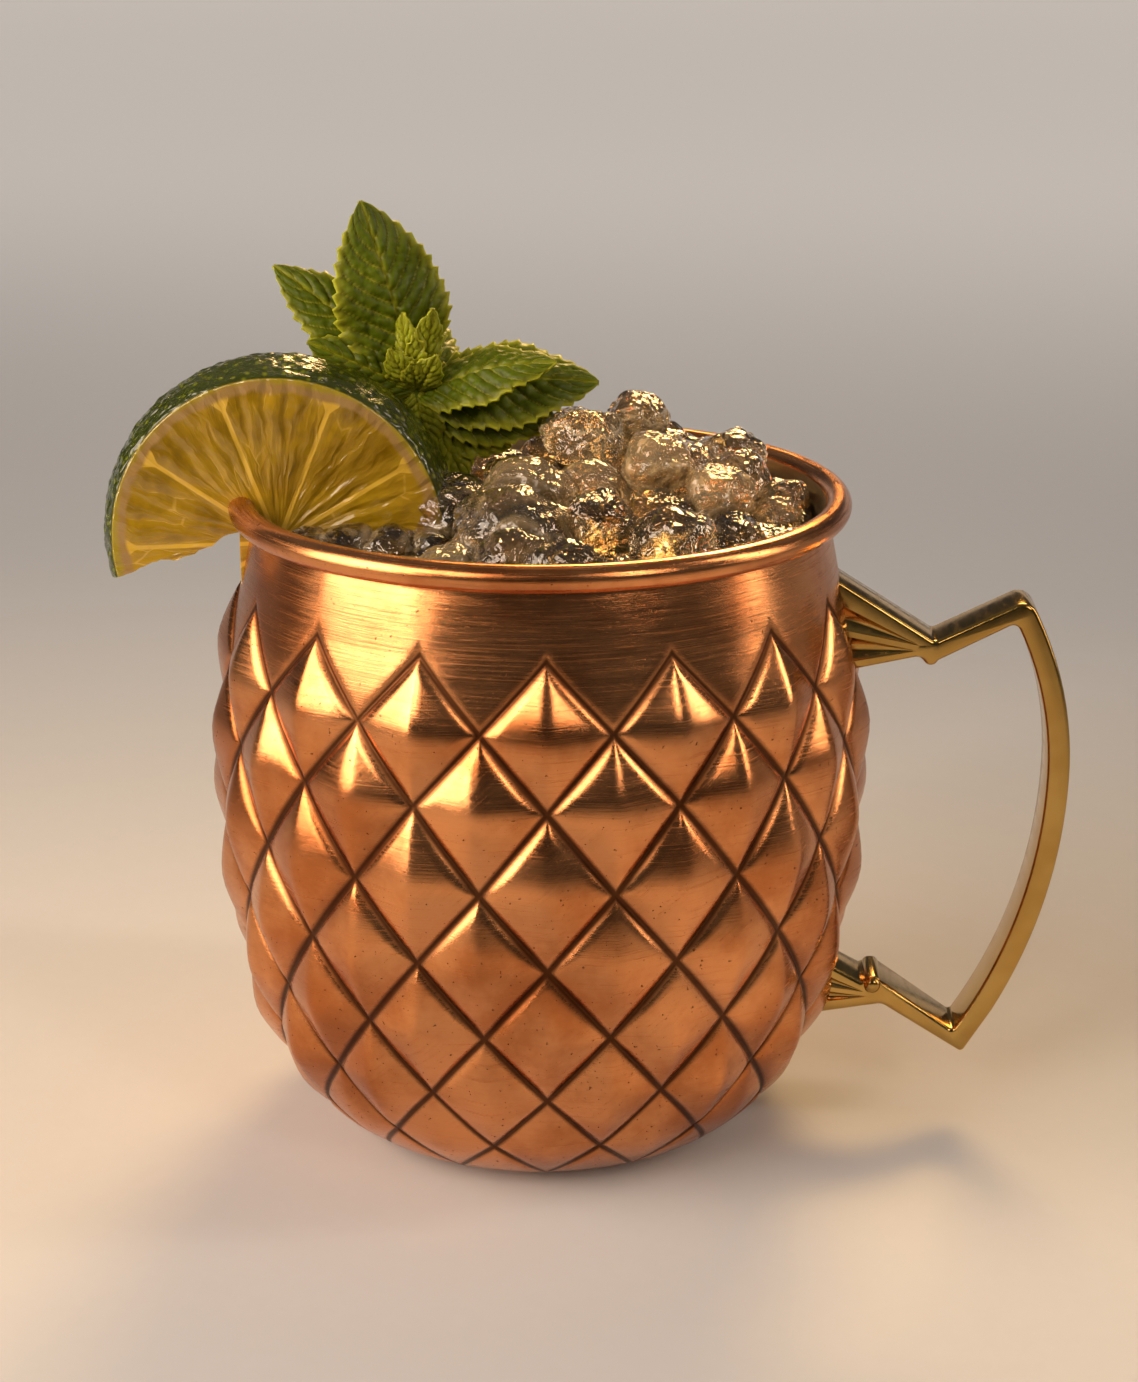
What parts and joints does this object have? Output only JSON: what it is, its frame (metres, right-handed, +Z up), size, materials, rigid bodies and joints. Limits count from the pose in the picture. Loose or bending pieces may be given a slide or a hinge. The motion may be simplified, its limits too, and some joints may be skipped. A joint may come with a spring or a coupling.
{
  "type": "moscow mule",
  "caption": "Dimpled copper mug with a strap handle, filled with an iced ginger drink and garnished with a lime slice and a mint sprig.",
  "frame": {"origin": "middle of the mug's flat base, on the mug's own axis", "axes": "+Z up along the mug's axis, +X towards the handle, +Y away from the pictured side"},
  "size_m": [0.1369, 0.0934, 0.1327],
  "materials": {
    "mug_copper": "brushed copper with dark grooves",
    "handle_brass": "polished brass",
    "drink": "clear liquid",
    "ice": "clear wet ice",
    "lime": "dimpled glossy rind, wet flesh",
    "mint": "quilted leaf"
  },
  "bodies": {
    "root": {"mug_body": "mug_copper", "handle": "handle_brass", "drink": "drink", "ice_heap": "ice", "lime_slice": "lime", "mint_sprig": "mint"}
  },
  "joints": []
}
